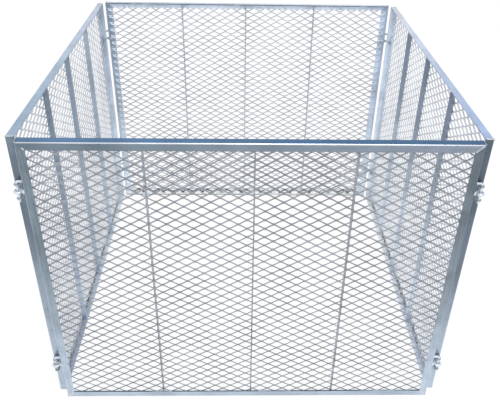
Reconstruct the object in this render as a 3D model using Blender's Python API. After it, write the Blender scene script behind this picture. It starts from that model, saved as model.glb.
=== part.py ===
"""Knock-down compost bin of four welded panels, pinned together at the corners.

Each panel is a mitred frame of bent steel angle with a sheet of expanded metal behind its outer
flanges and three flat bars on edge inside. The side panels carry hinge brackets on their end
stiles, and the front and back panels carry eye bolts, so a drop pin through both, with its top
bent over as a handle, makes each corner a hinge.
The origin is on the ground in the middle of the bin. The front faces -Y and +Z is up.
"""

import math

import bmesh
import bpy
from mathutils import Matrix, Vector

# Panels
PANEL_LENGTH = 1.000
PANEL_HEIGHT = 0.800
ANGLE_LEG = 0.020
ANGLE_THICKNESS = 0.003
ANGLE_BEND_RADIUS = 0.001
SEAT_GAP = 0.0003

# Expanded metal, coarser than the real sheet to spare facets
MESH_LONG_PITCH = 0.170
MESH_SHORT_PITCH = 0.094
MESH_STRAND_WIDTH = 0.005
MESH_STRAND_DEPTH = 0.002

# Flat bars, placed by the clear bays between them, left to right from outside
BAR_THICKNESS = 0.003
BAR_BAYS = (0.2635, 0.239, 0.222)

# Corner joints
UPPER_JOINT_DROP = 0.1295
LOWER_JOINT_RISE = 0.118
BOLT_DIAMETER = 0.006
BOLT_HOLE = 0.007
NUT_ACROSS_FLATS = 0.010
NUT_THICKNESS = 0.005
BOLT_END_STANDOUT = 0.0025
EYE_ROD = 0.007
PIN_DIAMETER = 0.006
EYE_BORE_CLEARANCE = 0.001
EAR_BORE_CLEARANCE = 0.0005
EYE_TO_WEB = 0.0026
BRACKET_HEIGHT = 0.040
BRACKET_WIDTH = 0.012
BRACKET_THICKNESS = 0.003
BRACKET_BEND_RADIUS = 0.002
PIN_BEND_RADIUS = 0.006
PIN_HANDLE_TO_STILE = 0.002
PIN_TIP_STANDOUT = 0.008
PIN_TAPER = 0.002
PIN_TIP_SHARE = 0.6

# Facets of round shapes
ROUND_SIDES = 12
BOLT_SIDES = 8
HEEL_STEPS = 6
BEND_STEPS = 3
EYE_RING_STEPS = 14
EYE_ROD_SIDES = 6

# Derived depths behind a panel's outer face: the mesh, the bars behind it, and the line of bolts
# whose nuts just clear the mesh
MESH_FACE = ANGLE_THICKNESS + SEAT_GAP
BAR_FACE = MESH_FACE + MESH_STRAND_DEPTH + SEAT_GAP
BOLT_LINE = BAR_FACE + NUT_ACROSS_FLATS / 2

# Derived places: each pin stands where the bolt lines of the two panels cross, as far from the
# stiles as the eye needs inside the bracket. That leaves 7 mm between the panels
EYE_BORE = PIN_DIAMETER + EYE_BORE_CLEARANCE
EYE_RING_RADIUS = (EYE_BORE + EYE_ROD) / 2
STILE_TO_PIN = EYE_RING_RADIUS + EYE_ROD / 2 + EYE_TO_WEB + BRACKET_THICKNESS + SEAT_GAP
PIN_OFFSET = PANEL_LENGTH / 2 + STILE_TO_PIN
OUTER_FACE = PIN_OFFSET + BOLT_LINE
JOINT_HEIGHTS = {"upper": PANEL_HEIGHT - UPPER_JOINT_DROP, "lower": LOWER_JOINT_RISE}

# Each panel is the front one turned about the middle of the bin
PANEL_TURNS = {"front": 0.0, "right": math.pi / 2, "back": math.pi, "left": -math.pi / 2}

# The corner whose pins each panel turns on: the back panel swings on the right one
PANEL_PIVOTS = {"front": (0, 0), "right": (1, -1), "back": (1, 1), "left": (-1, -1)}


def clear_scene():
    """Remove every object that the file starts with."""
    for item in list(bpy.data.objects):
        bpy.data.objects.remove(item, do_unlink=True)


def new_collection(name):
    """Add a collection to the scene."""
    collection = bpy.data.collections.new(name)
    bpy.context.scene.collection.children.link(collection)
    return collection


def new_steel(name, colour, roughness):
    """Make a plain metal material."""
    material = bpy.data.materials.new(name)
    material.use_nodes = True
    shader = material.node_tree.nodes["Principled BSDF"]
    shader.inputs["Base Color"].default_value = (*colour, 1.0)
    shader.inputs["Roughness"].default_value = roughness
    shader.inputs["Metallic"].default_value = 1.0
    return material


def mesh_from(bm, name):
    """Turn a bmesh into a mesh with sound normals."""
    bmesh.ops.recalc_face_normals(bm, faces=bm.faces[:])
    mesh = bpy.data.meshes.new(name)
    bm.to_mesh(mesh)
    bm.free()
    return mesh


def add_part(name, mesh, material, matrix, parent=None):
    """Place one sub-part in the bin, carried by its panel's empty."""
    part = bpy.data.objects.new(name, mesh)
    if not mesh.materials:
        mesh.materials.append(material)
    PARTS.objects.link(part)
    part.matrix_world = matrix
    if parent:
        part.parent = parent
        part.matrix_parent_inverse = parent.matrix_world.inverted()
    return part


def add_cutter(name, mesh):
    """Place a shape that only serves a Boolean."""
    cutter = bpy.data.objects.new(name, mesh)
    CUTTERS.objects.link(cutter)
    cutter.hide_render = True
    cutter.display_type = "WIRE"
    return cutter


def combined(name, first, steps):
    """Join or cut a mesh with others and return the finished mesh."""
    body = add_cutter(name, first)
    tools = []
    for number, (operation, mesh) in enumerate(steps):
        tool = add_cutter(f"{name}_tool_{number}", mesh)
        modifier = body.modifiers.new(f"{operation.lower()}_{number}", "BOOLEAN")
        modifier.operation = operation
        modifier.solver = "EXACT"
        modifier.object = tool
        tools.append(tool)
    bpy.context.view_layer.update()
    depsgraph = bpy.context.evaluated_depsgraph_get()
    result = bpy.data.meshes.new_from_object(body.evaluated_get(depsgraph))
    result.name = name
    for item in [body, *tools]:
        bpy.data.objects.remove(item, do_unlink=True)
    return result


def shade_round(mesh):
    """Shade smooth, with the flat faces' edges kept sharp."""
    mesh.shade_smooth()
    mesh.set_sharp_from_angle(angle=math.radians(40))


def outline_prism(points, start, end, axis):
    """Extrude a closed outline from start to end along one axis."""
    bm = bmesh.new()
    order = {"X": (2, 0, 1), "Y": (0, 2, 1), "Z": (0, 1, 2)}[axis]
    corners = []
    for point in points:
        place = (point[0], point[1], start)
        corners.append(bm.verts.new([place[i] for i in order]))
    face = bm.faces.new(corners)
    moved = bmesh.ops.extrude_face_region(bm, geom=[face])
    shift = [0.0, 0.0, end - start]
    new_verts = [item for item in moved["geom"] if isinstance(item, bmesh.types.BMVert)]
    bmesh.ops.translate(bm, verts=new_verts, vec=[shift[i] for i in order])
    return bm


def arc(centre, radius, start, end, steps):
    """Points along a round corner, both ends included. Angles are in degrees."""
    points = []
    for step in range(steps + 1):
        angle = math.radians(start + (end - start) * step / steps)
        points.append((centre[0] + radius * math.cos(angle), centre[1] + radius * math.sin(angle)))
    return points


def rod(diameter, start, end, axis, sides):
    """A closed round bar along one axis through the origin."""
    bm = bmesh.new()
    bmesh.ops.create_cone(
        bm, cap_ends=True, segments=sides, radius1=diameter / 2, radius2=diameter / 2, depth=end - start
    )
    bmesh.ops.translate(bm, verts=bm.verts, vec=(0, 0, (start + end) / 2))
    if axis == "X":
        lay_down = Matrix.Rotation(math.pi / 2, 3, "Y") @ Matrix.Rotation(math.pi / 2, 3, "Z")
        bmesh.ops.rotate(bm, verts=bm.verts, matrix=lay_down)
    if axis == "Y":
        bmesh.ops.rotate(bm, verts=bm.verts, matrix=Matrix.Rotation(-math.pi / 2, 3, "X"))
    return bm


def angle_profile():
    """Section of the bent angle: depth into the bin, then height below the outer edge."""
    leg = ANGLE_LEG
    wall = ANGLE_THICKNESS
    heel = ANGLE_BEND_RADIUS + wall
    points = arc((heel, -heel), heel, 90, 180, HEEL_STEPS) + [(0, -leg), (wall, -leg)]
    points += arc((heel, -heel), ANGLE_BEND_RADIUS, 180, 90, BEND_STEPS)
    points += [(leg, -wall), (leg, 0)]
    return points


def angle_member(name, length, hole_places=()):
    """One length of angle along X, mitred at both ends, with its outer edge on the X axis."""
    bm = outline_prism(angle_profile(), -length / 2, length / 2, "X")
    for side in (-1, 1):
        mitre = Vector((side, 0, -1)).normalized()
        corner = Vector((side * length / 2, 0, 0)) - mitre * SEAT_GAP / 2
        cut = bmesh.ops.bisect_plane(
            bm, geom=bm.verts[:] + bm.edges[:] + bm.faces[:], plane_co=corner, plane_no=-mitre, clear_inner=True
        )
        edges = [item for item in cut["geom_cut"] if isinstance(item, bmesh.types.BMEdge)]
        bmesh.ops.contextual_create(bm, geom=edges)
    mesh = mesh_from(bm, name)
    if not hole_places:
        return mesh
    steps = []
    for place in hole_places:
        drill = rod(BOLT_HOLE, -2 * ANGLE_THICKNESS, ANGLE_THICKNESS, "Z", BOLT_SIDES)
        bmesh.ops.translate(drill, verts=drill.verts, vec=(place, BOLT_LINE, 0))
        steps.append(("DIFFERENCE", mesh_from(drill, "bolt_hole")))
    return combined(name, mesh, steps)


def fitted_lattice(span, pitch, share):
    """Half pitch that puts the sheet's edge a set share of a step past its last row of nodes."""
    steps = max(1, round((span / pitch) - share))
    return steps, span / 2 / (steps + share)


def expanded_metal(name):
    """Diamond sheet in the XZ plane: a lattice of flat strands, sheared off at its four edges."""
    margin = ANGLE_THICKNESS + ANGLE_BEND_RADIUS + SEAT_GAP
    width = PANEL_LENGTH - 2 * margin
    height = PANEL_HEIGHT - 2 * margin
    columns, step_x = fitted_lattice(width, MESH_LONG_PITCH, 0.5)
    rows, step_z = fitted_lattice(height, MESH_SHORT_PITCH, 0.3)
    bm = bmesh.new()
    nodes = {}
    for column in range(-columns - 2, columns + 3):
        for row in range(-rows - 2, rows + 3):
            if (column + row) % 2 == 0:
                nodes[column, row] = bm.verts.new((column * step_x, 0, row * step_z))
    for column, row in list(nodes):
        around = [(column, row), (column + 1, row + 1), (column, row + 2), (column - 1, row + 1)]
        if all(key in nodes for key in around):
            bm.faces.new([nodes[key] for key in around])
    bm.normal_update()
    bmesh.ops.wireframe(bm, faces=bm.faces[:], thickness=MESH_STRAND_WIDTH, use_replace=True,
                        use_boundary=True, use_even_offset=True)
    bmesh.ops.scale(bm, verts=bm.verts, vec=(1, MESH_STRAND_DEPTH / MESH_STRAND_WIDTH, 1))
    bmesh.ops.translate(bm, verts=bm.verts, vec=(0, MESH_FACE + MESH_STRAND_DEPTH / 2, PANEL_HEIGHT / 2))
    middle = Vector((0, 0, PANEL_HEIGHT / 2))
    for direction in (Vector((1, 0, 0)), Vector((-1, 0, 0)), Vector((0, 0, 1)), Vector((0, 0, -1))):
        reach = width / 2 if direction.x else height / 2
        cut = bmesh.ops.bisect_plane(
            bm, geom=bm.verts[:] + bm.edges[:] + bm.faces[:], plane_co=middle + direction * reach,
            plane_no=-direction, clear_inner=True,
        )
        edges = [item for item in cut["geom_cut"] if isinstance(item, bmesh.types.BMEdge)]
        bmesh.ops.edgeloop_fill(bm, edges=edges)
    return mesh_from(bm, name)


def stiffener(name):
    """Flat bar on edge, from the bottom rail to the top rail, behind the expanded metal."""
    bm = bmesh.new()
    bmesh.ops.create_cube(bm, size=1)
    depth = ANGLE_LEG - BAR_FACE
    length = PANEL_HEIGHT - 2 * (ANGLE_THICKNESS + SEAT_GAP)
    bmesh.ops.scale(bm, verts=bm.verts, vec=(BAR_THICKNESS, depth, length))
    bmesh.ops.translate(bm, verts=bm.verts, vec=(0, BAR_FACE + depth / 2, PANEL_HEIGHT / 2))
    return mesh_from(bm, name)


def bar_places():
    """Middle of each flat bar along the panel."""
    places = []
    edge = -PANEL_LENGTH / 2
    for bay in BAR_BAYS:
        places.append(edge + bay + BAR_THICKNESS / 2)
        edge += bay + BAR_THICKNESS
    return places


def nut(face, axis, outward):
    """Hexagon nut whose seat is at the given place along the axis."""
    far = face + outward * NUT_THICKNESS
    corner_diameter = NUT_ACROSS_FLATS / math.cos(math.pi / 6)
    return rod(corner_diameter, min(face, far), max(face, far), axis, 6)


def eye_bolt(name):
    """Eye round the pin, with its shank along -X through the stile and a nut on each side of it."""
    ring = bmesh.new()
    circle = bmesh.ops.create_circle(ring, segments=EYE_ROD_SIDES, radius=EYE_ROD / 2)
    bmesh.ops.rotate(ring, verts=circle["verts"], matrix=Matrix.Rotation(math.pi / 2, 3, "X"))
    bmesh.ops.translate(ring, verts=circle["verts"], vec=(EYE_RING_RADIUS, 0, 0))
    bmesh.ops.spin(ring, geom=ring.edges[:], axis=(0, 0, 1), cent=(0, 0, 0), angle=2 * math.pi,
                   steps=EYE_RING_STEPS, use_merge=True)
    bmesh.ops.remove_doubles(ring, verts=ring.verts, dist=0.00001)
    inner_face = STILE_TO_PIN + ANGLE_THICKNESS + SEAT_GAP
    shank_end = inner_face + NUT_THICKNESS + BOLT_END_STANDOUT
    shank = rod(BOLT_DIAMETER, -shank_end, -EYE_RING_RADIUS, "X", BOLT_SIDES)
    outer_nut = nut(-STILE_TO_PIN + SEAT_GAP, "X", 1)
    inner_nut = nut(-inner_face, "X", -1)
    steps = [("UNION", mesh_from(shank, "shank")), ("UNION", mesh_from(outer_nut, "outer_nut"))]
    steps.append(("UNION", mesh_from(inner_nut, "inner_nut")))
    mesh = combined(name, mesh_from(ring, "ring"), steps)
    shade_round(mesh)
    return mesh


def hinge_bracket(name):
    """Strip bent into two ears round the pin, with a stud and nut through the stile behind it (+Y)."""
    half = BRACKET_HEIGHT / 2
    wall = BRACKET_THICKNESS
    bend = BRACKET_BEND_RADIUS
    back = STILE_TO_PIN - SEAT_GAP
    front = -BRACKET_WIDTH / 2
    outer = bend + wall
    upper_bend = (back - outer, half - outer)
    lower_bend = (back - outer, -half + outer)
    points = [(front, half)] + arc(upper_bend, outer, 90, 0, BEND_STEPS)
    points += arc(lower_bend, outer, 0, -90, BEND_STEPS) + [(front, -half), (front, -half + wall)]
    points += arc(lower_bend, bend, -90, 0, BEND_STEPS)
    points += arc(upper_bend, bend, 0, 90, BEND_STEPS) + [(front, half - wall)]
    strip = outline_prism(points, -BRACKET_WIDTH / 2, BRACKET_WIDTH / 2, "X")
    plan = [(BRACKET_WIDTH / 2, back + wall), (-BRACKET_WIDTH / 2, back + wall)]
    plan += arc((0, 0), BRACKET_WIDTH / 2, 180, 360, ROUND_SIDES // 2)
    trim = outline_prism(plan, -half - wall, half + wall, "Z")
    bore = rod(PIN_DIAMETER + EAR_BORE_CLEARANCE, -half - wall, half + wall, "Z", ROUND_SIDES)
    inner_face = STILE_TO_PIN + ANGLE_THICKNESS + SEAT_GAP
    stud_end = inner_face + NUT_THICKNESS + BOLT_END_STANDOUT
    stud = rod(BOLT_DIAMETER, back - wall / 2, stud_end, "Y", BOLT_SIDES)
    stud_nut = nut(inner_face, "Y", 1)
    steps = [("INTERSECT", mesh_from(trim, "trim")), ("DIFFERENCE", mesh_from(bore, "pin_bore"))]
    steps += [("UNION", mesh_from(stud, "stud")), ("UNION", mesh_from(stud_nut, "stud_nut"))]
    mesh = combined(name, mesh_from(strip, "strip"), steps)
    shade_round(mesh)
    return mesh


def drop_pin(name):
    """Round rod on Z, tapered at its tip, with its top bent over along -X above the upper ear."""
    bend = BRACKET_HEIGHT / 2 + SEAT_GAP
    tip = -BRACKET_HEIGHT / 2 - PIN_TIP_STANDOUT
    reach = STILE_TO_PIN - PIN_HANDLE_TO_STILE
    route = [(0, tip), (0, tip + PIN_TAPER)]
    route += arc((-PIN_BEND_RADIUS, bend), PIN_BEND_RADIUS, 0, 90, BEND_STEPS)
    route += [(-reach, bend + PIN_BEND_RADIUS)]
    curve = bpy.data.curves.new(name, "CURVE")
    curve.dimensions = "3D"
    curve.bevel_depth = PIN_DIAMETER / 2
    curve.bevel_resolution = 2
    curve.use_fill_caps = True
    spline = curve.splines.new("POLY")
    spline.points.add(len(route) - 1)
    for point, (x, z) in zip(spline.points, route):
        point.co = (x, 0, z, 1)
    spline.points[0].radius = PIN_TIP_SHARE
    bent = add_cutter(name, curve)
    bpy.context.view_layer.update()
    depsgraph = bpy.context.evaluated_depsgraph_get()
    evaluated = bpy.data.meshes.new_from_object(bent.evaluated_get(depsgraph))
    bpy.data.objects.remove(bent, do_unlink=True)
    bm = bmesh.new()
    bm.from_mesh(evaluated)
    bmesh.ops.remove_doubles(bm, verts=bm.verts, dist=0.00001)
    mesh = mesh_from(bm, name)
    shade_round(mesh)
    return mesh


def panel_matrix(panel):
    """Place of a panel's own frame: outer face on XZ, X to the right from outside, Y inwards."""
    return Matrix.Rotation(PANEL_TURNS[panel], 4, "Z") @ Matrix.Translation((0, -OUTER_FACE, 0))


def add_panel_empty(panel):
    """The empty that carries a panel, on the axis of the pins that it turns on."""
    empty = bpy.data.objects.new(f"{panel}_panel", None)
    PARTS.objects.link(empty)
    side_x, side_y = PANEL_PIVOTS[panel]
    empty.location = (side_x * PIN_OFFSET, side_y * PIN_OFFSET, 0)
    bpy.context.view_layer.update()
    return empty


def build_panels():
    """The four welded panels, all alike."""
    half_height = PANEL_HEIGHT / 2
    places = [height - half_height for height in JOINT_HEIGHTS.values()]
    rail = angle_member("rail", PANEL_LENGTH)
    left_stile = angle_member("left_stile", PANEL_HEIGHT, places)
    right_stile = angle_member("right_stile", PANEL_HEIGHT, [-place for place in places])
    sheet = expanded_metal("expanded_metal")
    bar = stiffener("flat_bar")
    frame_steel = new_steel("galvanised_angle", (0.46, 0.52, 0.56), 0.38)
    sheet_steel = new_steel("galvanised_expanded_metal", (0.52, 0.55, 0.58), 0.45)
    bar_steel = new_steel("galvanised_flat_bar", (0.42, 0.49, 0.55), 0.4)
    turned_over = Matrix.Rotation(math.pi, 4, "Y")
    left_turn = Matrix.Translation((-PANEL_LENGTH / 2, 0, half_height)) @ Matrix.Rotation(-math.pi / 2, 4, "Y")
    right_turn = Matrix.Translation((PANEL_LENGTH / 2, 0, half_height)) @ Matrix.Rotation(math.pi / 2, 4, "Y")
    for panel in PANEL_TURNS:
        place = panel_matrix(panel)
        empty = EMPTIES[panel]
        top = Matrix.Translation((0, 0, PANEL_HEIGHT))
        add_part(f"{panel}_top_rail", rail, frame_steel, place @ top, empty)
        add_part(f"{panel}_bottom_rail", rail, frame_steel, place @ turned_over, empty)
        add_part(f"{panel}_left_stile", left_stile, frame_steel, place @ left_turn, empty)
        add_part(f"{panel}_right_stile", right_stile, frame_steel, place @ right_turn, empty)
        add_part(f"{panel}_mesh", sheet, sheet_steel, place, empty)
        for number, along in enumerate(bar_places(), start=1):
            shift = Matrix.Translation((along, 0, 0))
            add_part(f"{panel}_bar_{number}", bar, bar_steel, place @ shift, empty)


def build_corner_joints():
    """At each corner, upper and lower: a bracket on the side panel, an eye bolt, and a drop pin
    whose handle points at the end panel's stile."""
    eye = eye_bolt("eye_bolt")
    bracket = hinge_bracket("hinge_bracket")
    pin = drop_pin("drop_pin")
    zinc = new_steel("zinc_plated_eye_bolt", (0.72, 0.77, 0.80), 0.28)
    bracket_steel = new_steel("zinc_plated_bracket", (0.66, 0.72, 0.77), 0.32)
    pin_steel = new_steel("zinc_plated_pin", (0.75, 0.80, 0.84), 0.25)
    for end, side_y in (("front", -1), ("back", 1)):
        for side, side_x in (("left", -1), ("right", 1)):
            for level, height in JOINT_HEIGHTS.items():
                centre = Matrix.Translation((side_x * PIN_OFFSET, side_y * PIN_OFFSET, height))
                eye_turn = Matrix.Rotation(0 if side_x > 0 else math.pi, 4, "Z")
                bracket_turn = Matrix.Rotation(0 if side_y < 0 else math.pi, 4, "Z")
                corner = f"{end}_{side}_{level}"
                add_part(f"eye_bolt_{corner}", eye, zinc, centre @ eye_turn, EMPTIES[end])
                add_part(f"bracket_{corner}", bracket, bracket_steel, centre @ bracket_turn, EMPTIES[side])
                add_part(f"pin_{corner}", pin, pin_steel, centre @ eye_turn, EMPTIES[side])


clear_scene()
PARTS = new_collection("compost_bin")
CUTTERS = new_collection("cutters")
EMPTIES = {panel: add_panel_empty(panel) for panel in PANEL_TURNS}
build_panels()
build_corner_joints()
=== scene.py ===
"""A galvanised compost bin: four panels of steel angle and expanded metal, pinned at the corners.

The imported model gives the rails, stiles and flat bars. The sheets of expanded metal, the welds and
the bolts, brackets and pins of the corner joints are modelled here, each in its own section.
"""

import math
import random

import bpy
from mathutils import Matrix, Vector


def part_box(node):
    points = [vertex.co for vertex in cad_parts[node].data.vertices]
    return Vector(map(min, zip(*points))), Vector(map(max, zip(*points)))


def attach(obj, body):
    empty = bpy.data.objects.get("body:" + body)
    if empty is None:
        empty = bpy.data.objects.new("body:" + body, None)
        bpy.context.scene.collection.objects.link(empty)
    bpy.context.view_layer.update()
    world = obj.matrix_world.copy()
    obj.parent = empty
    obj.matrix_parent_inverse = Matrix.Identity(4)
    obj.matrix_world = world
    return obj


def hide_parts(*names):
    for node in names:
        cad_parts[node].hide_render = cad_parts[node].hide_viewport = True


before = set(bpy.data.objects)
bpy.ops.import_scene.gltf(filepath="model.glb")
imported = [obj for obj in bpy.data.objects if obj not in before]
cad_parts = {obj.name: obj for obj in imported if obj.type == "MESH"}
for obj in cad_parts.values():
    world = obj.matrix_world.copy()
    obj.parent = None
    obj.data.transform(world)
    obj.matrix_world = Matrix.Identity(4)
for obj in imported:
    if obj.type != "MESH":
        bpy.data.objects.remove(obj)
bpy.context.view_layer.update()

# Camera: 1.4 m up and 1.15 m in front of the front panel, a little left of the middle, looking
# down into the bin. It leans slightly, as the photograph does.
image_width = 500
image_height = 400
focal_pixels = 616.6
optical_centre = (255.1, 186.5)
camera_place = Vector((-0.0269, -1.6755, 1.4146))
camera_pitch = math.radians(32.14)
camera_yaw = math.radians(1.73)
camera_roll = math.radians(1.19)

camera_data = bpy.data.cameras.new("camera")
camera_data.sensor_width = 36.0
camera_data.lens = focal_pixels / image_width * camera_data.sensor_width
camera_data.shift_x = (image_width / 2 - optical_centre[0]) / image_width
camera_data.shift_y = (optical_centre[1] - image_height / 2) / image_width
camera_data.clip_start = 0.01
camera = bpy.data.objects.new("camera", camera_data)
bpy.context.scene.collection.objects.link(camera)
camera.matrix_world = (
    Matrix.Translation(camera_place)
    @ Matrix.Rotation(-camera_yaw, 4, "Z")
    @ Matrix.Rotation(math.pi / 2 - camera_pitch, 4, "X")
    @ Matrix.Rotation(camera_roll, 4, "Z")
)
bpy.context.scene.camera = camera
bpy.context.scene.view_settings.view_transform = "Standard"

# Floor: a plain white sheet under soft light, with the bin's faint shadow.
floor_size = 14.0
floor_shade = (0.95, 0.95, 0.95, 1.0)
floor_white = (1.0, 1.0, 1.0, 1.0)
floor_glow = 1.04
floor_shadow_share = 0.22


class Field:
    """A number or colour over a surface. Sums and products of fields add Math nodes."""

    def __init__(self, tree, socket=None):
        self.tree = tree
        self.socket = socket

    def node(self, kind, settings, inputs, output=0):
        """Add a node, set it, fill or link its sockets, and return one of its outputs."""
        made = self.tree.nodes.new("ShaderNode" + kind)
        for name, value in settings.items():
            setattr(made, name, value)
        for name, value in inputs.items():
            if isinstance(value, Field):
                self.tree.links.new(value.socket, made.inputs[name])
            else:
                made.inputs[name].default_value = value
        return Field(self.tree, made.outputs[output])

    def combine(self, operation, first, second):
        return self.node("Math", {"operation": operation}, {0: first, 1: second})

    def __add__(self, other):
        return self.combine("ADD", self, other)

    def __sub__(self, other):
        return self.combine("SUBTRACT", self, other)

    def __rsub__(self, other):
        return self.combine("SUBTRACT", other, self)

    def __mul__(self, other):
        return self.combine("MULTIPLY", self, other)

    def __abs__(self):
        return self.combine("ABSOLUTE", self, 0.0)

    def step(self, low, high):
        """0 below low, 1 above high, and smooth between."""
        limits = {"Value": self, "From Min": low, "From Max": high}
        return self.node("MapRange", {"interpolation_type": "SMOOTHSTEP"}, limits)

    def blend(self, low, high):
        """The colour low where the field is 0 and high where it is 1."""
        return self.node("Mix", {"data_type": "RGBA"}, {0: self, 6: low, 7: high}, output=2)

    def scaled(self, amount):
        """The colour made darker or lighter by a number or field."""
        return self.node("VectorMath", {"operation": "SCALE"}, {0: self, "Scale": amount})

    def axes(self):
        """The three parts of a vector field."""
        return [self.node("SeparateXYZ", {}, {0: self}, output=axis) for axis in range(3)]

    def cloud(self, size, detail):
        """Soft noise from 0 to 1 over a place, in patches of about the given size in metres."""
        return self.node("TexNoise", {}, {"Vector": self, "Scale": 1 / size, "Detail": detail})

    def feed(self, socket):
        self.tree.links.new(self.socket, socket)


def backdrop_mask(tree):
    """1 for what the camera sees, itself or in metal, and 0 for the light on the object."""
    seen = Field(tree).node("LightPath", {}, {}, output="Is Camera Ray")
    mirrored = Field(tree).node("LightPath", {}, {}, output="Is Glossy Ray")
    passed = Field(tree).node("LightPath", {}, {}, output="Is Transmission Ray")
    return seen + mirrored + passed


bpy.ops.object.select_all(action="DESELECT")
bpy.ops.mesh.primitive_plane_add(size=floor_size)
floor = bpy.context.object
floor.name = "floor"
floor_material = bpy.data.materials.new("white_floor")
floor_material.use_nodes = True
floor_tree = floor_material.node_tree
floor_tree.nodes.remove(floor_tree.nodes["Principled BSDF"])
mask = backdrop_mask(floor_tree)
shaded = mask.node("BsdfDiffuse", {}, {"Color": floor_shade})
glowing = mask.node("Emission", {}, {"Color": floor_white, "Strength": floor_glow})
mask.node("MixShader", {}, {0: mask * (1 - floor_shadow_share), 1: shaded, 2: glowing}).feed(
    floor_tree.nodes["Material Output"].inputs["Surface"]
)
floor.data.materials.append(floor_material)

# Light: a white studio whose back wall is a shade bluer high up, and one broad soft lamp above the
# front.
studio_white = (1.0, 1.0, 1.0, 1.0)
wall_blue = (0.74, 0.87, 1.0, 1.0)
wall_side = (0.35, 0.65)
wall_foot = (0.30, 0.46)
wall_head = (0.50, 0.70)
lamp_place = Vector((0.5, -1.6, 2.9))
lamp_aim = Vector((0, 0, 0.4))
lamp_width = 1.6
lamp_watts = 25.0

world = bpy.data.worlds.new("studio")
bpy.context.scene.world = world
world.use_nodes = True
background = world.node_tree.nodes["Background"]
mask = backdrop_mask(world.node_tree)
behind, upward = mask.node("TexCoord", {}, {}, output=0).axes()[1:]
band = behind.step(*wall_side) * upward.step(*wall_foot) * (1 - upward.step(*wall_head))
mask.blend(studio_white, band.blend(studio_white, wall_blue)).feed(background.inputs["Color"])
background.inputs["Strength"].default_value = 1.0

lamp_data = bpy.data.lights.new("soft_lamp", "AREA")
lamp_data.shape = "DISK"
lamp_data.size = lamp_width
lamp_data.energy = lamp_watts
lamp = bpy.data.objects.new("soft_lamp", lamp_data)
bpy.context.scene.collection.objects.link(lamp)
lamp.location = lamp_place
lamp.rotation_euler = (lamp_aim - lamp_place).to_track_quat("-Z", "Y").to_euler()

# Frames: rails and stiles of cold bent angle, mitred, welded and then hot-dip galvanised. The zinc
# has a faint spangle, dark specks, streaks where it ran off and cloudy patches. Its base colours also
# carry painted light: each panel and each end of it has its own lit or shaded tone, the faces are
# darker towards the top and lighter towards the foot as a painted reflection of the floor, the top
# flanges carry a painted reflection of the sky, and a painted highlight runs along the bend. Bands
# are depths below a surface or edge.
panel_turns = {"front": 0, "right": 90, "back": 180, "left": -90}
rail_low, rail_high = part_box("front_top_rail")
outer_face = -rail_low[1]
panel_height = rail_high[2]
panel_length = rail_high[0] - rail_low[0]
angle_leg = rail_high[1] - rail_low[1]
angle_wall = 0.003
heel_radius = 0.004
inside_band = (0.0012, 0.0026)
bend_band = (0.0036, 0.0030)
flat_band = (0.0012, 0.0008)
heel_band = (0.0016, 0.0040)
sheared_band = (0.0006, 0.0001)
spangles_per_metre = 130.0
specks_per_metre = 60.0
streak_squeeze = 0.06


def panel_place(panel):
    """Place of a panel's own frame: its outer face on XZ, X to the right from outside, Y inwards."""
    turn = Matrix.Rotation(math.radians(panel_turns[panel]), 4, "Z")
    return turn @ Matrix.Translation((0, -outer_face, 0))


class Zinc:
    """A galvanised finish in a panel's own frame: its shader and its mottled tone, from 0 to 1.

    The streaks follow the axis run. A panel's edge is an end of its rails, its rim the top or bottom.
    """

    def __init__(self, name, panel, run, roughness):
        self.material = bpy.data.materials.new(name)
        self.material.use_nodes = True
        tree = self.material.node_tree
        self.shader = tree.nodes["Principled BSDF"]
        self.shader.inputs["Metallic"].default_value = 1.0
        turn = math.radians(panel_turns[panel])
        place = Field(tree).node("TexCoord", {}, {}, output="Object")
        turned = {"Vector": place, "Rotation": (0, 0, -turn), "Location": (0, outer_face, 0)}
        local = place.node("Mapping", {}, turned)
        self.along, self.inward, self.upward = local.axes()
        squeeze = tuple(streak_squeeze if axis == run else 1.0 for axis in "XYZ")
        drawn = place.node("Mapping", {}, {"Vector": local, "Location": (turn, 0, 0), "Scale": squeeze})
        self.edge = panel_length / 2 - abs(self.along)
        self.rim = self.upward.combine("MINIMUM", self.upward, panel_height - self.upward)
        self.patches = place.cloud(0.08, detail=4.0)
        grain = place.cloud(0.0015, detail=2.0)
        streaks = drawn.cloud(0.006, detail=2.0)
        crystals = {"Vector": place, "Scale": spangles_per_metre}
        cells = place.node("TexVoronoi", {}, crystals, output="Color")
        spangle = cells.node("SeparateColor", {}, {0: cells})
        spots = {"Vector": place, "Scale": specks_per_metre}
        specks = 1 - place.node("TexVoronoi", {}, spots, output="Distance").step(0.07, 0.13)
        clouded = self.patches.step(0.32, 0.68) * 0.5 + streaks.step(0.3, 0.7) * 0.3
        self.tone = clouded + spangle * 0.1 + grain * 0.1 - specks * 0.8
        (spangle * 0.08 + self.patches * 0.12 + (roughness - 0.1)).feed(self.shader.inputs["Roughness"])
        bump = {"Strength": 0.25, "Distance": 0.0004, "Height": grain + streaks * 1.5}
        place.node("Bump", {}, bump).feed(self.shader.inputs["Normal"])

    def near_top(self, start, full):
        """0 deeper than start below the top of the panel, 1 nearer to it than full."""
        return self.upward.step(panel_height - start, panel_height - full)

    def towards_foot(self, low, high):
        """1 below the height low, 0 above high, and smooth between."""
        return 1 - self.upward.step(low, high)

    def paint(self, colour, contrast):
        """Give the base colour the mottled tone. A contrast of 0.3 is 30% either way."""
        colour.scaled(self.tone * (2 * contrast) + (1 - contrast)).feed(self.shader.inputs["Base Color"])
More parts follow.
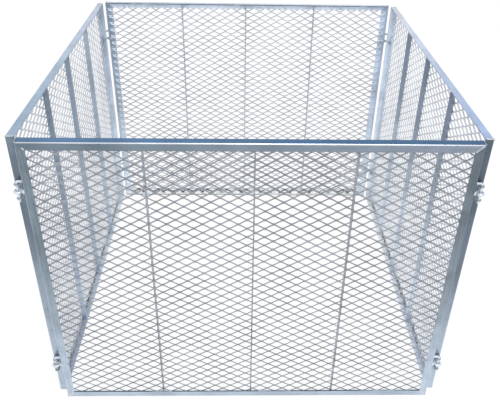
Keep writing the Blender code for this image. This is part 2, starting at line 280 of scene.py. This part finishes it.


# Each pair of tones is at the left and the right of the panel, seen from outside. All these tones are
# painted light: each panel and each end of it carries its own lit or shaded tone, and the top
# flanges carry a painted reflection of the sky, deep blue on the front rail.
rail_top_reflections = {
    "front": ((0.10, 0.20, 0.345, 1.0), (0.063, 0.145, 0.27, 1.0)),
    "right": ((0.47, 0.56, 0.78, 1.0), (0.62, 0.66, 0.74, 1.0)),
    "back": ((0.66, 0.72, 0.82, 1.0), (0.50, 0.57, 0.66, 1.0)),
    "left": ((0.52, 0.58, 0.68, 1.0), (0.37, 0.47, 0.58, 1.0)),
}
# Painted light: lit and shaded face tones for each panel and each end, darker near the top; towards the
# foot they turn to a pale painted reflection of the floor.
shaded_face_tops = {
    "front": ((0.195, 0.25, 0.295, 1.0), (0.155, 0.19, 0.225, 1.0)),
    "right": ((0.12, 0.15, 0.195, 1.0), (0.30, 0.36, 0.42, 1.0)),
    "back": ((0.34, 0.39, 0.46, 1.0), (0.30, 0.35, 0.42, 1.0)),
    "left": ((0.30, 0.36, 0.42, 1.0), (0.18, 0.235, 0.29, 1.0)),
}
shaded_front_rail_faces = ((0.17, 0.22, 0.265, 1.0), (0.29, 0.34, 0.42, 1.0))
face_foot_floor_reflection = (0.46, 0.54, 0.64, 1.0)
# Painted light: the insides of the angle are lit paler than the faces and nearly white towards the foot,
# each panel and end with its own tone.
lit_rail_insides = {
    "front": (0.30, 0.36, 0.42, 1.0),
    "right": (0.58, 0.68, 0.80, 1.0),
    "back": (0.74, 0.82, 0.93, 1.0),
    "left": (0.50, 0.60, 0.72, 1.0),
}
lit_rail_inside_feet = {
    "front": ((0.80, 0.88, 0.98, 1.0), (0.80, 0.88, 0.98, 1.0)),
    "right": ((0.68, 0.76, 0.90, 1.0), (0.98, 1.0, 1.0, 1.0)),
    "back": ((0.98, 1.0, 1.0, 1.0), (0.96, 0.99, 1.0, 1.0)),
    "left": ((0.88, 0.95, 1.0, 1.0), (0.36, 0.43, 0.56, 1.0)),
}
lit_stile_insides = {
    "front": ((0.30, 0.36, 0.42, 1.0), (0.30, 0.36, 0.42, 1.0)),
    "right": ((0.60, 0.70, 0.82, 1.0), (0.70, 0.79, 0.90, 1.0)),
    "back": ((0.54, 0.63, 0.76, 1.0), (0.38, 0.46, 0.56, 1.0)),
    "left": ((0.50, 0.58, 0.68, 1.0), (0.50, 0.60, 0.72, 1.0)),
}
lit_stile_inside_foot = (0.84, 0.92, 1.0, 1.0)
# Painted highlight along the bend of the angle, where its rounded heel mirrors the bright sky.
heel_highlight = (0.92, 0.95, 0.99, 1.0)
# Strength of a painted dark reflection along the toe of each panel's rails.
toe_shade_strengths = {"front": 0.8, "right": 0.0, "back": 0.75, "left": 0.0}


def rail_finish(panel):
    """Zinc of the two rails: top flange with a painted sky reflection, a painted highlight along the
    bend, the face below it, inside, and a painted dark reflection along the sheared edges of the front
    and back rails.
    """
    zinc = Zinc(f"zinc_{panel}_rails", panel, "X", roughness=0.30)
    # Painted light: the face turns from its lit or shaded tones near the top to a pale painted floor
    # reflection at the foot.
    floor_reflection_share = zinc.towards_foot(0.1, 0.7)
    sideways = zinc.along.step(-panel_length / 2, panel_length / 2)
    faces = shaded_front_rail_faces if panel == "front" else shaded_face_tops[panel]
    face = floor_reflection_share.blend(sideways.blend(*faces), face_foot_floor_reflection)
    inside = zinc.inward.step(*inside_band) * zinc.rim.step(*inside_band)
    (0.9 - inside * 0.6).feed(zinc.shader.inputs["Metallic"])
    # Painted light: paler insides, nearly white at the foot.
    foot = sideways.blend(*lit_rail_inside_feet[panel])
    lined = inside.blend(face, floor_reflection_share.blend(lit_rail_insides[panel], foot))
    # Painted highlight: a pale line along the bend, fading towards the panel's ends.
    bend = zinc.near_top(*bend_band) * (1 - zinc.inward.step(heel_radius, heel_radius * 1.3))
    heel_highlight_share = bend * (1 - abs(sideways - 0.5) * 0.7)
    edged = heel_highlight_share.blend(lined, heel_highlight)
    reach = zinc.inward.combine("MAXIMUM", zinc.inward, zinc.rim)
    sheared = reach.step(angle_leg - sheared_band[0], angle_leg - sheared_band[1])
    # Painted dark reflection: patches of shade along the toe of the rails' flanges.
    painted_toe_shade = sheared * zinc.patches.step(0.38, 0.50)
    topped = zinc.near_top(*flat_band).blend(edged, sideways.blend(*rail_top_reflections[panel]))
    zinc.paint(topped.scaled(1 - painted_toe_shade * toe_shade_strengths[panel]), contrast=0.2)
    return zinc.material


def stile_finish(panel):
    """Zinc of the two stiles: duller at the top and outside and lighter towards the foot as painted
    light, and a little brighter at the bend as a painted highlight.
    """
    zinc = Zinc(f"zinc_{panel}_stiles", panel, "Z", roughness=0.36)
    sideways = zinc.along.step(-0.1, 0.1)
    # Painted light: the face turns from its lit or shaded tones near the top to a pale painted floor
    # reflection at the foot.
    floor_reflection_share = zinc.towards_foot(0.05, 0.62)
    face = floor_reflection_share.blend(sideways.blend(*shaded_face_tops[panel]), face_foot_floor_reflection)
    inside = zinc.inward.step(*inside_band) * zinc.edge.step(*inside_band)
    (0.8 - inside * 0.5).feed(zinc.shader.inputs["Metallic"])
    # Painted light: paler insides, nearly white at the foot.
    lined = inside.blend(face, floor_reflection_share.blend(sideways.blend(*lit_stile_insides[panel]), lit_stile_inside_foot))
    # Painted highlight: a faint pale line along the bend of the left-hand stile.
    heel = (1 - zinc.edge.step(*heel_band)) * (1 - zinc.inward.step(*heel_band))
    zinc.paint((heel * (1 - sideways) * 0.15).blend(lined, heel_highlight), contrast=0.30)
    return zinc.material


for panel in panel_turns:
    rail_metal = rail_finish(panel)
    stile_metal = stile_finish(panel)
    for rail in ("top_rail", "bottom_rail"):
        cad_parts[f"{panel}_{rail}"].material_slots[0].material = rail_metal
    for stile in ("left_stile", "right_stile"):
        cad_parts[f"{panel}_{stile}"].material_slots[0].material = stile_metal

# Flat bars: three in each panel, on edge from rail to rail, dipped with the frame. Their wide faces
# are duller than the frame's. Their tones are painted light: each panel and each end has its own lit
# or shaded tone, lighter towards the foot as a painted reflection of the floor.
lit_bar_tops = {
    "front": ((0.36, 0.40, 0.46, 1.0), (0.32, 0.36, 0.42, 1.0)),
    "right": ((0.30, 0.34, 0.43, 1.0), (0.28, 0.34, 0.42, 1.0)),
    "back": ((0.48, 0.51, 0.58, 1.0), (0.48, 0.51, 0.58, 1.0)),
    "left": ((0.50, 0.58, 0.66, 1.0), (0.31, 0.38, 0.46, 1.0)),
}
lit_bar_feet = {
    "front": (0.38, 0.42, 0.48, 1.0),
    "right": (0.78, 0.86, 0.96, 1.0),
    "back": (0.50, 0.54, 0.60, 1.0),
    "left": (0.60, 0.70, 0.82, 1.0),
}

for panel in panel_turns:
    zinc = Zinc(f"zinc_{panel}_bars", panel, "Z", roughness=0.42)
    # Painted light: lit or shaded tones across each panel, paler towards the foot as a painted floor
    # reflection.
    lit_bar_top = zinc.along.step(-0.35, 0.1).blend(*lit_bar_tops[panel])
    zinc.paint(zinc.towards_foot(0.1, 0.75).blend(lit_bar_top, lit_bar_feet[panel]), contrast=0.2)
    for number in (1, 2, 3):
        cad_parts[f"{panel}_bar_{number}"].material_slots[0].material = zinc.material

# Expanded metal: steel sheet slit and stretched into diamonds, then sheared to size and welded
# behind the frame. Each strand is a flat ribbon that leans out, so it runs in a zigzag from bond
# to bond, and the next one is the same ribbon half a diamond along. Zinc has pooled, paler, where
# the sheet lies on the frame. The sheets' overall tones are painted light, paler on the sides and
# back than on the front, and a painted shadow darkens patches along each sheet's foot, by the top
# edge of the bottom rail.
long_way = 0.041
short_way = 0.0243
strand_width = 0.0042
strand_gauge = 0.0013
strand_lean = math.radians(-20)
bond_length = 0.005
sheet_clearance = 0.00005
spare_runs = 4
spare_rows = 2
# Height band of a painted shadow along each sheet's foot.
foot_shadow_band = (angle_leg + 0.0005, angle_leg + 0.0035)
frame_band = (angle_leg - 0.0015, angle_leg + 0.0005)
first_bonds = {
    "front": (0.0120, 0.0033),
    "right": (0.0065, 0.0110),
    "back": (0.0185, 0.0067),
    "left": (0.0010, 0.0172),
}
sheet_low, sheet_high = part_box("front_mesh")


def select_all_faces():
    """Edit the active object with all of it selected."""
    bpy.ops.object.mode_set(mode="EDIT")
    bpy.ops.mesh.select_all(action="SELECT")


def apply_modifiers(piece):
    """Make a piece's modifiers part of its mesh."""
    bpy.context.view_layer.objects.active = piece
    for modifier in list(piece.modifiers):
        bpy.ops.object.modifier_apply(modifier=modifier.name)


def finish_piece(piece, name, material, place, body):
    """Name a modelled piece, give it its metal, put its place into its mesh, and hang it on a body."""
    piece.data.transform(place)
    piece.name = name
    piece.data.name = name
    piece.data.materials.clear()
    piece.data.materials.append(material)
    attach(piece, body)
    return piece


def copy_piece(piece, place=None):
    """A copy with a mesh of its own, moved by place."""
    twin = piece.copy()
    twin.data = piece.data.copy()
    bpy.context.scene.collection.objects.link(twin)
    if place is not None:
        twin.data.transform(place)
    return twin


def join_pieces(pieces):
    """Join several objects into the first."""
    bpy.ops.object.select_all(action="DESELECT")
    for piece in pieces:
        piece.select_set(True)
    bpy.context.view_layer.objects.active = pieces[0]
    bpy.ops.object.join()
    return bpy.context.object


def expanded_sheet(bond_along, bond_height):
    """One sheet in the front panel's own frame, with a bond at the given place."""
    half_way = long_way / 2
    lean = Vector((0, math.sin(strand_lean), math.cos(strand_lean)))
    rise = Vector((0, 0, short_way / 2)) - lean * strand_width
    depth = strand_width * abs(math.sin(strand_lean)) + strand_gauge / 2 * math.cos(strand_lean)
    middle = angle_wall + sheet_clearance + depth
    left = bond_along - half_way * math.ceil((bond_along + panel_length / 2) / half_way + 1)
    bottom = bond_height - short_way * math.ceil(bond_height / short_way + 0.5)
    if round((bond_along - left) / half_way) % 2:
        left -= half_way
    start = Vector((left - bond_length / 2, middle, bottom)) + lean * strand_width / 2
    section = (
        Matrix.Translation(start)
        @ Matrix.Rotation(-strand_lean, 4, "X")
        @ Matrix.Rotation(math.pi / 2, 4, "Y")
        @ Matrix.Diagonal((strand_width, strand_gauge, 1, 1))
    )
    bpy.ops.object.select_all(action="DESELECT")
    bpy.ops.mesh.primitive_plane_add(size=1)
    sheet = bpy.context.object
    sheet.data.transform(section)
    select_all_faces()
    bond = Vector((bond_length, 0, 0))
    slope = Vector((half_way - bond_length, 0, 0))
    for number in range(2 * math.ceil(panel_length / long_way) + spare_runs):
        climb = rise if number % 2 == 0 else -rise
        for run in (bond, slope + climb):
            bpy.ops.mesh.extrude_region_move(TRANSFORM_OT_translate={"value": run})
    bpy.ops.object.mode_set(mode="OBJECT")
    rows = sheet.modifiers.new("rows", "ARRAY")
    rows.use_relative_offset = False
    rows.use_constant_offset = True
    rows.constant_offset_displace = (0, 0, short_way)
    rows.count = math.ceil(panel_height / short_way) + spare_rows
    apply_modifiers(sheet)
    between = copy_piece(sheet, Matrix.Translation((-half_way, 0, short_way / 2)))
    sheet = join_pieces([sheet, between])
    select_all_faces()
    cuts = (
        ((sheet_high[0], 0, 0), (1, 0, 0)),
        ((sheet_low[0], 0, 0), (-1, 0, 0)),
        ((0, 0, sheet_high[2]), (0, 0, 1)),
        ((0, 0, sheet_low[2]), (0, 0, -1)),
    )
    for point, normal in cuts:
        bpy.ops.mesh.select_all(action="SELECT")
        bpy.ops.mesh.bisect(plane_co=point, plane_no=normal, use_fill=True, clear_outer=True)
    bpy.ops.mesh.select_all(action="SELECT")
    bpy.ops.mesh.normals_make_consistent(inside=False)
    bpy.ops.object.mode_set(mode="OBJECT")
    return sheet


# Each pair of tones is for the dull and the pale patches of a sheet. How pale each sheet is overall
# is painted light: the side and back sheets are lit paler than the front one.
lit_sheet_tones = {
    "front": ((0.28, 0.30, 0.335, 1.0), (0.36, 0.38, 0.415, 1.0)),
    "right": ((0.66, 0.69, 0.75, 1.0), (0.72, 0.75, 0.80, 1.0)),
    "back": ((0.47, 0.50, 0.55, 1.0), (0.52, 0.54, 0.59, 1.0)),
    "left": ((0.60, 0.63, 0.68, 1.0), (0.66, 0.69, 0.74, 1.0)),
}
pooled_zinc = (0.74, 0.82, 0.91, 1.0)
for panel, first_bond in first_bonds.items():
    zinc = Zinc(f"zinc_{panel}_sheet", panel, "X", roughness=0.50)
    zinc.shader.inputs["Metallic"].default_value = 0.5
    # Painted shadow: patches darkened along the sheet's foot, by the top edge of the bottom rail.
    painted_foot_shadow = zinc.towards_foot(*foot_shadow_band) * zinc.patches.step(0.44, 0.52)
    # Painted light: the patches keep their own tones, but each sheet's overall tone is lit to its panel.
    lit_sheet_tone = zinc.patches.step(0.35, 0.65).blend(*lit_sheet_tones[panel])
    margin = zinc.edge.combine("MINIMUM", zinc.edge, panel_height - zinc.upward)
    edged = margin.step(*frame_band).blend(pooled_zinc, lit_sheet_tone.scaled(1 - painted_foot_shadow * 0.75))
    zinc.paint(edged, contrast=0.12)
    sheet = expanded_sheet(*first_bond)
    name = f"{panel}_expanded_metal"
    finish_piece(sheet, name, zinc.material, panel_place(panel), f"{panel}_panel")
    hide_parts(f"{panel}_mesh")

# Corner welds: each mitre is closed by a rippled bead across its face and by another along the
# outer edge, both laid before the frame was dipped, so zinc covers them. One is ground off but for
# its inner end.
bead_width = 0.0046
bead_rise = 0.0011
bead_ripple = 0.0008
bead_start = 0.0012
mitre_bead_length = angle_leg * math.sqrt(2) - 0.004
short_bead_length = 0.007
edge_bead_length = angle_leg - 0.002
edge_bead_inset = 0.0004
bead_end = 0.3
bead_crest = 0.5
bead_trough = 0.43
rough_hand = random.Random(7)


def ridged_rod(radii, step, sides):
    """A closed rod that stands on the floor, with rings of the given radii one step apart."""
    bpy.ops.object.select_all(action="DESELECT")
    bpy.ops.mesh.primitive_circle_add(vertices=sides, radius=radii[0], fill_type="NGON")
    rod = bpy.context.object
    select_all_faces()
    for before, after in zip(radii, radii[1:]):
        bpy.ops.mesh.extrude_region_move(TRANSFORM_OT_translate={"value": (0, 0, step)})
        share = after / before
        bpy.ops.transform.resize(value=(share, share, 1), center_override=(0, 0, 0))
    bpy.ops.mesh.select_all(action="SELECT")
    bpy.ops.mesh.normals_make_consistent(inside=False)
    bpy.ops.object.mode_set(mode="OBJECT")
    return rod


def weld_bead(length):
    """A low rippled bead along Z, its rise along Y."""
    count = round(length / bead_ripple)
    radii = [bead_width * bead_end]
    for number in range(1, count):
        ripple = bead_crest if number % 2 else bead_trough
        radii.append(bead_width * (ripple + rough_hand.uniform(-0.03, 0.03)))
    bead = ridged_rod([*radii, bead_width * bead_end], bead_ripple, sides=10)
    bead.data.transform(Matrix.Diagonal((1, 2 * bead_rise / bead_width, 1, 1)))
    bead.data.shade_smooth()
    return bead


def remove_master(piece):
    """Remove a piece that has only served to be copied."""
    bpy.data.objects.remove(piece, do_unlink=True)


weld_tones = ((0.50, 0.56, 0.62, 1.0), (0.66, 0.71, 0.77, 1.0))
weld_zinc = Zinc("zinc_welds", "front", "X", roughness=0.34)
weld_zinc.paint(weld_zinc.patches.blend(*weld_tones), contrast=0.25)
mitre_bead = weld_bead(mitre_bead_length)
short_bead = weld_bead(short_bead_length)
edge_bead = weld_bead(edge_bead_length)
for panel in panel_turns:
    beads = []
    for side in (-1, 1):
        for top in (-1, 1):
            edge_height = panel_height if top > 0 else 0.0
            turn = math.atan2(side, top)
            toe = ((panel_length / 2 - angle_leg) * side, 0, edge_height - angle_leg * top)
            outward = Matrix.Rotation(turn, 4, "Y") @ Matrix.Translation((0, 0, bead_start))
            ground_off = panel == "front" and side < 0 < top
            across = short_bead if ground_off else mitre_bead
            beads.append(copy_piece(across, Matrix.Translation(toe) @ outward))
            along = (panel_length / 2 - edge_bead_inset) * side
            corner = (along, bead_start, edge_height - edge_bead_inset * top)
            inward = Matrix.Rotation(-math.pi / 2, 4, "X") @ Matrix.Rotation(turn, 4, "Z")
            beads.append(copy_piece(edge_bead, Matrix.Translation(corner) @ inward))
    name = f"{panel}_corner_welds"
    finish_piece(
        join_pieces(beads), name, weld_zinc.material, panel_place(panel), f"{panel}_panel"
    )
for master in (mitre_bead, short_bead, edge_bead):
    remove_master(master)

# Tack welds: small blobs that hold the sheet to the bars and to the inside of the frame, and fillets
# where the bars meet the rails.
tack_radii = (0.0026, 0.0013, 0.0022)
bar_tack_heights = (0.098, 0.215, 0.322, 0.448, 0.561, 0.692)
rail_tacks = 9
stile_tacks = 6
tack_in_leg = angle_leg * 0.62
tack_depth = angle_wall + 0.0013
fillet_height = angle_wall + 0.0006
fillet_from_bar_face = 0.007
bar_tack_proud = 0.0004

bpy.ops.object.select_all(action="DESELECT")
bpy.ops.mesh.primitive_uv_sphere_add(segments=10, ring_count=6, radius=1.0)
tack = bpy.context.object
tack.data.transform(Matrix.Diagonal((*tack_radii, 1)))
tack.data.shade_smooth()
bar_boxes = [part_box(f"front_bar_{number}") for number in (1, 2, 3)]
bar_places = [(low[0] + high[0]) / 2 for low, high in bar_boxes]
bar_face = bar_boxes[0][0][1] + outer_face
bar_wall = bar_boxes[0][1][0] - bar_boxes[0][0][0]
for panel in panel_turns:
    spots = []
    for bar in bar_places:
        for height in bar_tack_heights:
            height += rough_hand.uniform(-0.004, 0.004)
            along = bar + rough_hand.choice((-1, 1)) * bar_wall * 0.4
            spots.append((along, bar_face - bar_tack_proud, height))
        for height in (fillet_height, panel_height - fillet_height):
            for along in (bar - bar_wall / 2, bar + bar_wall / 2):
                spots.append((along, bar_face + fillet_from_bar_face, height))
    for number in range(rail_tacks):
        share = (number + rough_hand.uniform(0.4, 0.6)) / rail_tacks
        along = sheet_low[0] + share * (sheet_high[0] - sheet_low[0])
        for height in (tack_in_leg, panel_height - tack_in_leg):
            spots.append((along, tack_depth, height))
    for number in range(stile_tacks):
        height = (number + rough_hand.uniform(0.4, 0.6)) / stile_tacks * panel_height
        for side in (-1, 1):
            spots.append((side * (panel_length / 2 - tack_in_leg), tack_depth, height))
    tacks = []
    for along, depth, height in spots:
        place = Matrix.Translation((along, depth, height))
        size = rough_hand.uniform(0.8, 1.2)
        tacks.append(copy_piece(tack, place @ Matrix.Diagonal((size, 1, size, 1))))
    name = f"{panel}_tack_welds"
    finish_piece(
        join_pieces(tacks), name, weld_zinc.material, panel_place(panel), f"{panel}_panel"
    )
remove_master(tack)

# Eye bolts: forged eyes on the front and back panels' stiles, zinc plated, with a nut on each side
# of the stile's flange. The pins of the eight hinge joints drop through the eyes.
ring_radius = 0.007
ring_rod = 0.0035
bolt_radius = 0.003
thread_pitch = 0.001
thread_root = 0.83
nut_across = 0.010
nut_thickness = 0.005
nut_turned_radius = nut_across * 0.575
nut_chamfer = 0.0009
nut_seat_gap = 0.0003
bolt_standout = 0.0025
stile_clearance = 0.0002
pin_radius = 0.003
pin_low, pin_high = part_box("pin_front_right_upper")
pin_offset = pin_high[0] - pin_radius
stile_to_pin = pin_offset - panel_length / 2 - stile_clearance
inner_seat = stile_to_pin + angle_wall + nut_seat_gap

hinge_joints = []
for end, end_y in (("front", -1), ("back", 1)):
    for side, side_x in (("left", -1), ("right", 1)):
        for level in ("upper", "lower"):
            joint = f"{end}_{side}_{level}"
            low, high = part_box(f"bracket_{joint}")
            centre = (side_x * pin_offset, end_y * pin_offset, (low[2] + high[2]) / 2)
            hinge_joints.append((joint, end, side, Matrix.Translation(centre)))


def half_turn(turned):
    """Half a turn about Z where it is wanted, or none."""
    return Matrix.Rotation(math.pi if turned else 0, 4, "Z")


def threaded_rod(start, end):
    """A threaded rod along +X."""
    count = round((end - start) / thread_pitch * 2)
    radii = [bolt_radius if number % 2 else bolt_radius * thread_root for number in range(count + 1)]
    rod = ridged_rod(radii, (end - start) / count, sides=12)
    rod.data.transform(Matrix.Translation((start, 0, 0)) @ Matrix.Rotation(math.pi / 2, 4, "Y"))
    return rod


def hexagon_nut(seat, outward):
    """A nut along X with its corners turned off, from its seat outwards."""
    bpy.ops.object.select_all(action="DESELECT")
    bpy.ops.mesh.primitive_cylinder_add(
        vertices=6, radius=nut_across / 2 / math.cos(math.pi / 6), depth=nut_thickness
    )
    hexagon = bpy.context.object
    bpy.ops.mesh.primitive_cylinder_add(vertices=36, radius=nut_turned_radius, depth=nut_thickness)
    turned = bpy.context.object
    chamfer = turned.modifiers.new("chamfer", "BEVEL")
    chamfer.width = nut_chamfer
    chamfer.segments = 1
    chamfer.limit_method = "ANGLE"
    chamfer.angle_limit = math.radians(60)
    apply_modifiers(turned)
    common = hexagon.modifiers.new("turned", "BOOLEAN")
    common.operation = "INTERSECT"
    common.solver = "EXACT"
    common.object = turned
    apply_modifiers(hexagon)
    remove_master(turned)
    middle = seat + outward * nut_thickness / 2
    hexagon.data.transform(Matrix.Translation((middle, 0, 0)) @ Matrix.Rotation(math.pi / 2, 4, "Y"))
    return hexagon


def smooth_edges(piece):
    """Shade a piece smooth, with its hard edges kept."""
    bpy.ops.object.select_all(action="DESELECT")
    piece.select_set(True)
    bpy.context.view_layer.objects.active = piece
    bpy.ops.object.shade_smooth_by_angle(angle=math.radians(38))
    return piece


def plated(name, roughness, dark, pale):
    """Bright zinc plate, a little dulled in patches."""
    zinc = Zinc(name, "front", "Z", roughness)
    zinc.shader.inputs["Metallic"].default_value = 0.6
    zinc.paint(zinc.patches.step(0.3, 0.7).blend(dark, pale), contrast=0.15)
    return zinc.material


bpy.ops.object.select_all(action="DESELECT")
bpy.ops.mesh.primitive_torus_add(
    major_segments=36, minor_segments=14, major_radius=ring_radius, minor_radius=ring_rod
)
ring = bpy.context.object
shank = threaded_rod(ring_radius, inner_seat + nut_thickness + bolt_standout)
shank = join_pieces([shank, hexagon_nut(inner_seat, 1), hexagon_nut(stile_to_pin - nut_seat_gap, -1)])
shank.data.transform(half_turn(True))
eye_bolt = smooth_edges(join_pieces([ring, shank]))
eye_tones = ((0.58, 0.64, 0.70, 1.0), (0.72, 0.77, 0.82, 1.0))
eye_metal = plated("zinc_plated_eye_bolt", 0.32, *eye_tones)
for joint, end, side, centre in hinge_joints:
    place = centre @ half_turn(side == "left")
    fine_eye = finish_piece(
        copy_piece(eye_bolt), f"forged_eye_{joint}", eye_metal, place, f"{end}_panel"
    )
    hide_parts(f"eye_bolt_{joint}")
remove_master(eye_bolt)

# Hinge brackets: strips bent into two ears on the side panels' end stiles, zinc plated, each held by
# a stud and a nut through the stile.
bracket_height = 0.040
bracket_width = 0.012
bracket_wall = 0.003
bracket_bend = 0.002
bracket_rounding = 0.0004
ear_corner_radius = bracket_width * 0.48
ear_bore = 0.00325

bracket_back = stile_to_pin - nut_seat_gap
outer_bend = bracket_bend + bracket_wall
bend_reach = bracket_back - outer_bend
bend_height = bracket_height / 2 - outer_bend
straight = bend_reach + bracket_width / 2


def face_outwards():
    """Merge the doubles of the edited mesh and turn its faces outwards."""
    bpy.ops.mesh.select_all(action="SELECT")
    bpy.ops.mesh.remove_doubles(threshold=0.00001)
    bpy.ops.mesh.normals_make_consistent(inside=False)


bpy.ops.object.select_all(action="DESELECT")
bpy.ops.mesh.primitive_plane_add(size=1)
bracket = bpy.context.object
bracket.data.transform(
    Matrix.Translation((0, -bracket_width / 2, (bracket_height - bracket_wall) / 2))
    @ Matrix.Rotation(math.pi / 2, 4, "X")
    @ Matrix.Diagonal((bracket_width, bracket_wall, 1, 1))
)
select_all_faces()
bpy.ops.mesh.extrude_region_move(TRANSFORM_OT_translate={"value": (0, straight, 0)})
bpy.ops.mesh.spin(steps=6, angle=math.pi / 2, center=(0, bend_reach, bend_height), axis=(1, 0, 0))
bpy.ops.mesh.extrude_region_move(TRANSFORM_OT_translate={"value": (0, 0, -2 * bend_height)})
bpy.ops.mesh.spin(steps=6, angle=math.pi / 2, center=(0, bend_reach, -bend_height), axis=(1, 0, 0))
bpy.ops.mesh.extrude_region_move(TRANSFORM_OT_translate={"value": (0, -straight, 0)})
face_outwards()
# In edge mode, so that the edge between two chosen corners stays unselected.
bpy.ops.mesh.select_mode(type="EDGE")
bpy.ops.mesh.select_all(action="DESELECT")
bpy.ops.object.mode_set(mode="OBJECT")
for edge in bracket.data.edges:
    ends = [bracket.data.vertices[number].co for number in edge.vertices]
    at_ear_end = all(abs(end.y + bracket_width / 2) < 0.00001 for end in ends)
    edge.select = at_ear_end and abs(ends[0].x - ends[1].x) < 0.00001
bpy.ops.object.mode_set(mode="EDIT")
bpy.ops.mesh.bevel(offset=ear_corner_radius, segments=8, affect="EDGES")
bpy.ops.mesh.select_mode(type="VERT")
bpy.ops.object.mode_set(mode="OBJECT")
bpy.ops.object.select_all(action="DESELECT")
bpy.ops.mesh.primitive_cylinder_add(vertices=24, radius=ear_bore, depth=bracket_height * 1.5)
drill = bpy.context.object
bores = bracket.modifiers.new("bores", "BOOLEAN")
bores.operation = "DIFFERENCE"
bores.solver = "EXACT"
bores.object = drill
rounding = bracket.modifiers.new("rounding", "BEVEL")
rounding.width = bracket_rounding
rounding.segments = 2
rounding.limit_method = "ANGLE"
rounding.angle_limit = math.radians(50)
apply_modifiers(bracket)
remove_master(drill)
stud = threaded_rod(bracket_back - bracket_wall / 2, inner_seat + nut_thickness + bolt_standout)
stud = join_pieces([stud, hexagon_nut(inner_seat, 1)])
stud.data.transform(Matrix.Rotation(math.pi / 2, 4, "Z"))
bracket = smooth_edges(join_pieces([bracket, stud]))
bracket_tones = ((0.33, 0.38, 0.44, 1.0), (0.44, 0.50, 0.56, 1.0))
bracket_metal = plated("zinc_plated_bracket", 0.40, *bracket_tones)
for joint, end, side, centre in hinge_joints:
    place = centre @ half_turn(end == "back")
    fine_bracket = finish_piece(
        copy_piece(bracket), f"bent_bracket_{joint}", bracket_metal, place, f"{side}_panel"
    )
    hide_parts(f"bracket_{joint}")
remove_master(bracket)

# Drop pins: round rods through the ears and the eye, pointed below and bent over above as a handle,
# zinc plated. They lift out to open a corner.
pin_standout = 0.008
pin_taper = 0.002
pin_tip_share = 0.6
pin_bend = 0.006
handle_chamfer = 0.0008
handle_end_share = 0.75
handle_reach = pin_high[0] - pin_low[0] - pin_radius
pin_seat = bracket_height / 2 + nut_seat_gap
tip_height = -bracket_height / 2 - pin_standout

bpy.ops.object.select_all(action="DESELECT")
bpy.ops.mesh.primitive_circle_add(vertices=20, radius=pin_radius * pin_tip_share, fill_type="NGON")
pin = bpy.context.object
pin.data.transform(Matrix.Translation((0, 0, tip_height)))
select_all_faces()
bpy.ops.mesh.extrude_region_move(TRANSFORM_OT_translate={"value": (0, 0, pin_taper)})
bpy.ops.transform.resize(value=(1 / pin_tip_share, 1 / pin_tip_share, 1), center_override=(0, 0, 0))
rise = pin_seat - tip_height - pin_taper
bpy.ops.mesh.extrude_region_move(TRANSFORM_OT_translate={"value": (0, 0, rise)})
bpy.ops.mesh.spin(steps=8, angle=math.pi / 2, center=(-pin_bend, 0, pin_seat), axis=(0, 1, 0))
for run in (pin_bend - handle_reach + handle_chamfer, -handle_chamfer):
    bpy.ops.mesh.extrude_region_move(TRANSFORM_OT_translate={"value": (run, 0, 0)})
bpy.ops.transform.resize(
    value=(1, handle_end_share, handle_end_share), center_override=(0, 0, pin_seat + pin_bend)
)
face_outwards()
bpy.ops.object.mode_set(mode="OBJECT")
pin = smooth_edges(pin)
pin_tones = ((0.64, 0.70, 0.77, 1.0), (0.77, 0.82, 0.87, 1.0))
pin_metal = plated("zinc_plated_pin", 0.32, *pin_tones)
for joint, end, side, centre in hinge_joints:
    place = centre @ half_turn(side == "left")
    fine_pin = finish_piece(
        copy_piece(pin), f"bent_pin_{joint}", pin_metal, place, f"drop_pin_{joint}"
    )
    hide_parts(f"pin_{joint}")
remove_master(pin)
